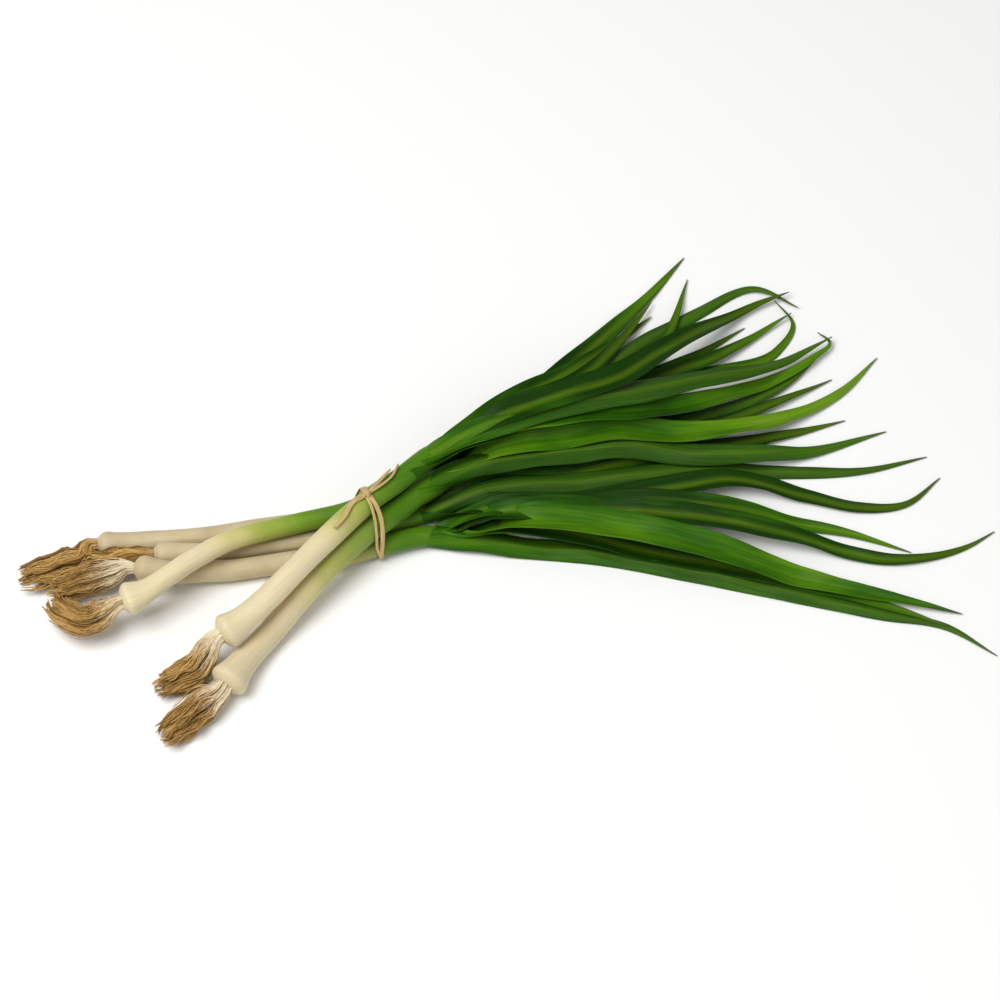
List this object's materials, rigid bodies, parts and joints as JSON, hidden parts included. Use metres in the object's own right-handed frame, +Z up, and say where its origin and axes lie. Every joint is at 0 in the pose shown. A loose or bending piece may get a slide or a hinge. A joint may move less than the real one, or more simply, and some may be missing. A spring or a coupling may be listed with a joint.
{
  "type": "spring onion bunch",
  "caption": "Loose bunch of spring onions lying on a surface, with white shanks, root tufts and long flat green leaves, tied with a raffia band.",
  "frame": {"origin": "on the surface the bunch lies on, under the middle of its bounding box", "axes": "+Z up, +X along the bunch from the roots to the leaf tips, +Y away from the side the picture was taken from"},
  "size_m": [0.4459, 0.2644, 0.0365],
  "materials": {
    "roots": "dry matte root fibres",
    "shank": "smooth moist satin skin",
    "leaves": "satin leaf with fine lengthwise veins",
    "raffia": "dry split palm fibre, slight sheen"
  },
  "bodies": {
    "root": {"onion_1_roots": "roots", "onion_1_shank": "shank", "onion_1_leaves": "leaves", "onion_2_roots": "roots", "onion_2_shank": "shank", "onion_2_leaves": "leaves", "onion_3_roots": "roots", "onion_3_shank": "shank", "onion_3_leaves": "leaves", "onion_4_roots": "roots", "onion_4_shank": "shank", "onion_4_leaves": "leaves", "onion_5_roots": "roots", "onion_5_shank": "shank", "onion_5_leaves": "leaves", "onion_6_roots": "roots", "onion_6_shank": "shank", "onion_6_leaves": "leaves", "raffia_tie": "raffia"}
  },
  "joints": []
}
